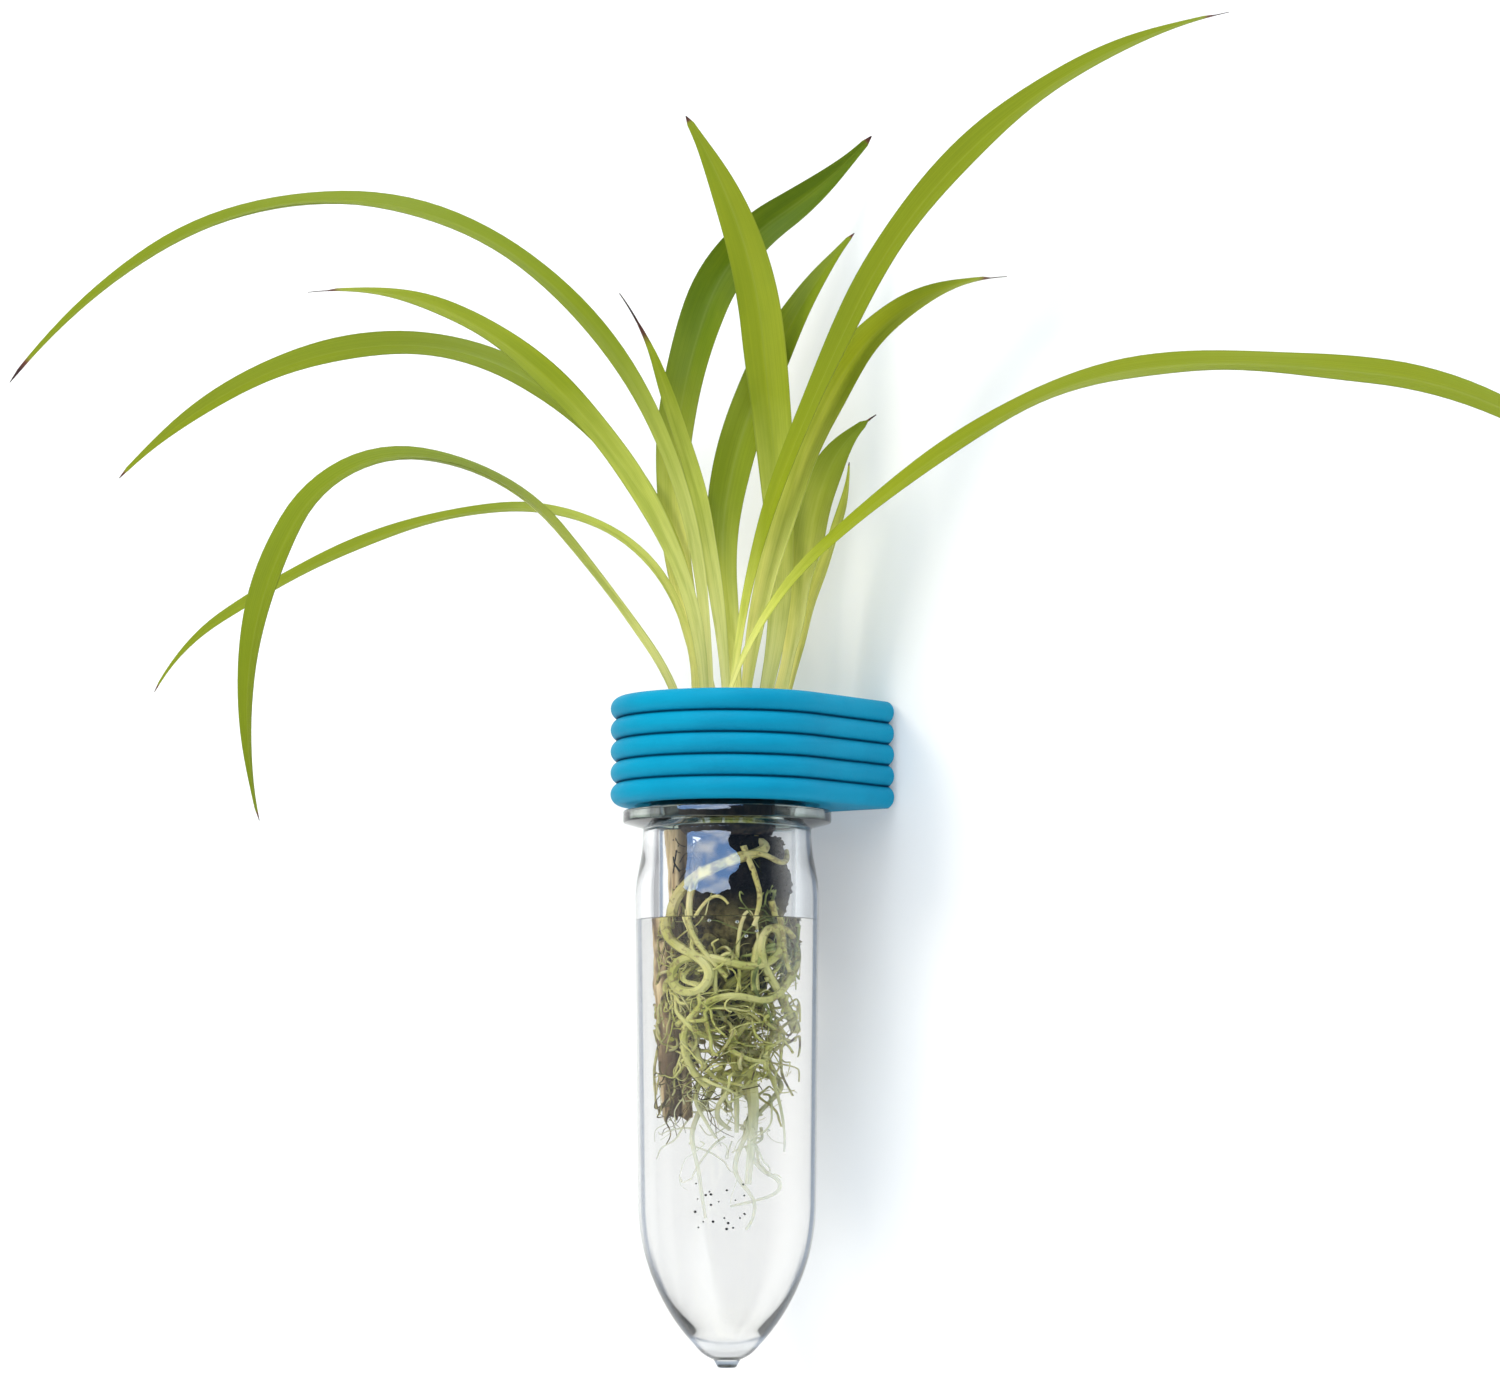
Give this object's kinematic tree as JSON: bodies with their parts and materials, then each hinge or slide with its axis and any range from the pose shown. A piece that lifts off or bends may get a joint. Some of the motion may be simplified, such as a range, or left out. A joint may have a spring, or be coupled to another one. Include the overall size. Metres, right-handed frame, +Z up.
{
  "type": "propagation vase",
  "caption": "Wall-hung propagation vase: a clear pointed test tube held by a ribbed blue collar, with a rooted leafy cutting standing in it.",
  "frame": {"origin": "centre of the collar's flat back, on the wall, at half the collar's height", "axes": "+Z up along the tube, +Y into the wall, +X to the right of someone who faces the wall"},
  "size_m": [0.2629, 0.0982, 0.2034],
  "materials": {
    "collar_blue": "matte moulded silicone",
    "pad_grey": "fine grained anti-slip pad",
    "magnet_nickel": "bright nickel plate",
    "tube_clear": "clear polished moulding",
    "water": "clear water",
    "leaf_green": "satin leaf with fine veins",
    "crown_pale": "pale green leaf bases",
    "stem_bark": "tan woody stem",
    "soil_dark": "damp crumbly soil",
    "root_pale": "pale smooth root"
  },
  "bodies": {
    "collar": {"collar": "collar_blue", "grip_pad": "pad_grey", "magnet_left": "magnet_nickel", "magnet_right": "magnet_nickel"},
    "tube": {"tube": "tube_clear"},
    "plant": {"crown": "crown_pale", "stem": "stem_bark", "soil_plug": "soil_dark", "leaf_long_left": "leaf_green", "leaf_wide_left": "leaf_green", "leaf_back_left": "leaf_green", "leaf_droop_left": "leaf_green", "leaf_low_left": "leaf_green", "leaf_brown_tip": "leaf_green", "leaf_dark_back": "leaf_green", "leaf_tall_middle": "leaf_green", "leaf_mid_back": "leaf_green", "leaf_long_right_up": "leaf_green", "leaf_bent_right": "leaf_green", "leaf_dark_right": "leaf_green", "leaf_thin_right": "leaf_green", "leaf_long_right": "leaf_green", "root_wrap_1": "root_pale", "root_wrap_2": "root_pale", "root_curl_1": "root_pale", "root_curl_2": "root_pale", "root_curl_3": "root_pale", "root_hair_1": "root_pale", "root_hair_2": "root_pale"}
  },
  "joints": [
    {"name": "tube_pull", "type": "slide", "parent": "collar", "child": "tube", "axis": [0, 0, -1], "range_m": [0, 0.09]},
    {"name": "plant_lift", "type": "slide", "parent": "collar", "child": "plant", "axis": [0, 0, 1], "range_m": [0, 0.09]}
  ]
}
